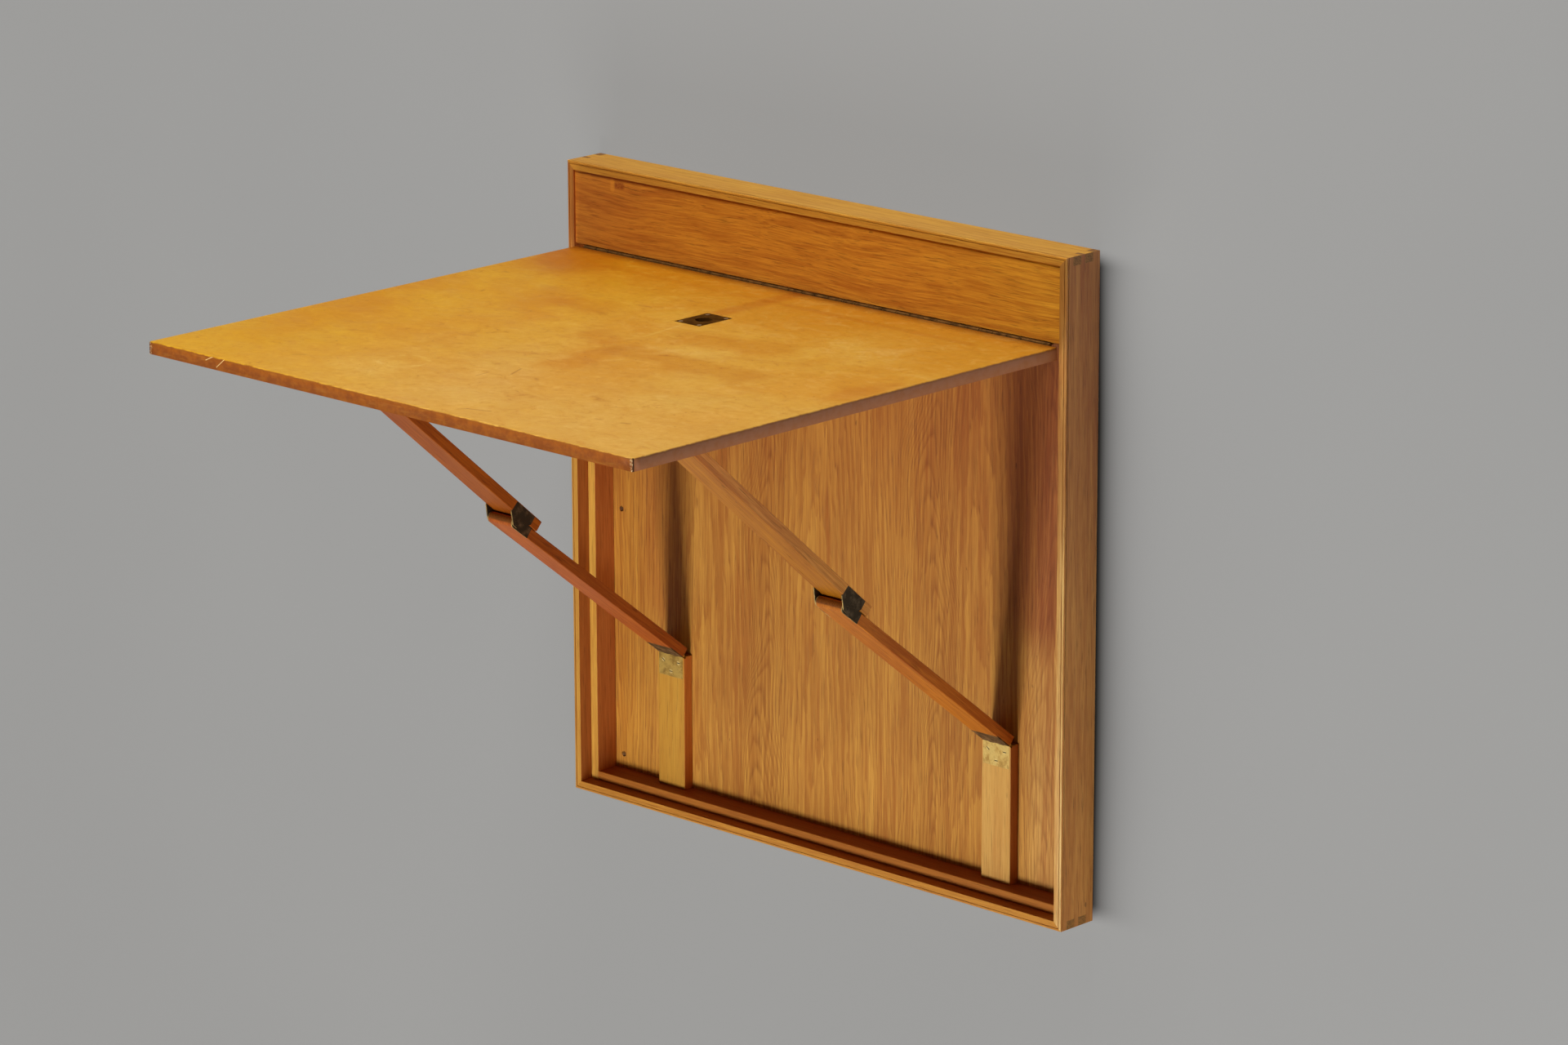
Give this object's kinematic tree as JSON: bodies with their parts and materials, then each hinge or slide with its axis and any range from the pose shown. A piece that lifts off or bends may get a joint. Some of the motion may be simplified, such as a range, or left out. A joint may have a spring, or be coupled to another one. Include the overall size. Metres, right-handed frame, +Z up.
{
  "type": "fold down wall desk",
  "caption": "Shallow oak wall frame with a leather-covered writing leaf that folds down on a piano hinge and is held level by knuckle-jointed wooden braces.",
  "frame": {"origin": "centre of the four wall-screw holes, on the face that lies against the wall", "axes": "+X to the right as seen from the room, +Y into the wall, +Z up; the leaf opens towards -Y"},
  "size_m": [0.75, 0.6875, 0.748],
  "materials": {
    "oak_frame": "oiled",
    "oak_panel": "oiled",
    "oak_struts": "oiled",
    "leaf_board": "oiled",
    "leather": "natural, patinated",
    "brass": "satin",
    "dark_brass": "tarnished",
    "brass_screws": "satin"
  },
  "bodies": {
    "frame": {"top_rail": "oak_frame", "bottom_rail": "oak_frame", "back_panel": "oak_panel", "fascia": "oak_frame", "bottom_batten": "oak_struts", "piano_hinge_fixed_leaf": "brass", "left_stile": "oak_frame", "left_batten": "oak_struts", "left_post": "oak_struts", "left_post_hinge_plate": "brass", "left_post_screws": "brass_screws", "left_foot_pin": "brass", "right_stile": "oak_frame", "right_batten": "oak_struts", "right_post": "oak_struts", "right_post_hinge_plate": "brass", "right_post_screws": "brass_screws", "right_foot_pin": "brass"},
    "leaf": {"piano_hinge_moving_leaf": "brass", "leaf_core": "leaf_board", "leather_cover": "leather", "flush_plate": "dark_brass", "flush_plate_screws": "brass_screws", "left_leaf_hinge_plate": "brass", "left_leaf_hinge_screws": "brass_screws", "left_leaf_hinge_pin": "brass", "right_leaf_hinge_plate": "brass", "right_leaf_hinge_screws": "brass_screws", "right_leaf_hinge_pin": "brass"},
    "left_lower_arm": {"left_lower_arm": "oak_struts", "left_foot_hinge_plate": "brass", "left_foot_screws": "brass_screws", "left_knuckle_cheeks": "dark_brass", "left_knuckle_pin": "dark_brass"},
    "left_upper_arm": {"left_upper_arm": "oak_struts", "left_knuckle_ears": "dark_brass", "left_arm_hinge_plate": "brass", "left_arm_hinge_screws": "brass_screws"},
    "right_lower_arm": {"right_lower_arm": "oak_struts", "right_foot_hinge_plate": "brass", "right_foot_screws": "brass_screws", "right_knuckle_cheeks": "dark_brass", "right_knuckle_pin": "dark_brass"},
    "right_upper_arm": {"right_upper_arm": "oak_struts", "right_knuckle_ears": "dark_brass", "right_arm_hinge_plate": "brass", "right_arm_hinge_screws": "brass_screws"}
  },
  "joints": [
    {"name": "left_foot_hinge", "type": "hinge", "parent": "frame", "child": "left_lower_arm", "pos_m": [-0.25, -0.01685, -0.005], "axis": [-1, 0, 0], "range_deg": [0, 51.95]},
    {"name": "left_knuckle", "type": "hinge", "parent": "left_lower_arm", "child": "left_upper_arm", "pos_m": [-0.25, -0.28023, 0.20667], "axis": [1, 0, 0], "range_deg": [0, 182.92]},
    {"name": "left_leaf_hinge", "type": "hinge", "parent": "left_upper_arm", "child": "leaf", "pos_m": [-0.25, -0.5245, 0.4483], "axis": [-1, 0, 0], "range_deg": [0, 40.97]},
    {"name": "right_foot_hinge", "type": "hinge", "parent": "frame", "child": "right_lower_arm", "pos_m": [0.25, -0.01685, -0.005], "axis": [-1, 0, 0], "range_deg": [0, 51.95]},
    {"name": "right_knuckle", "type": "hinge", "parent": "right_lower_arm", "child": "right_upper_arm", "pos_m": [0.25, -0.28023, 0.20667], "axis": [1, 0, 0], "range_deg": [0, 182.92]}
  ],
  "couplings": [
    {"joint": "left_foot_hinge", "follows": "left_knuckle", "ratio": 0.28401},
    {"joint": "left_leaf_hinge", "follows": "left_knuckle", "ratio": 0.22397},
    {"joint": "right_foot_hinge", "follows": "left_knuckle", "ratio": 0.28401},
    {"joint": "right_knuckle", "follows": "left_knuckle", "ratio": 1}
  ]
}
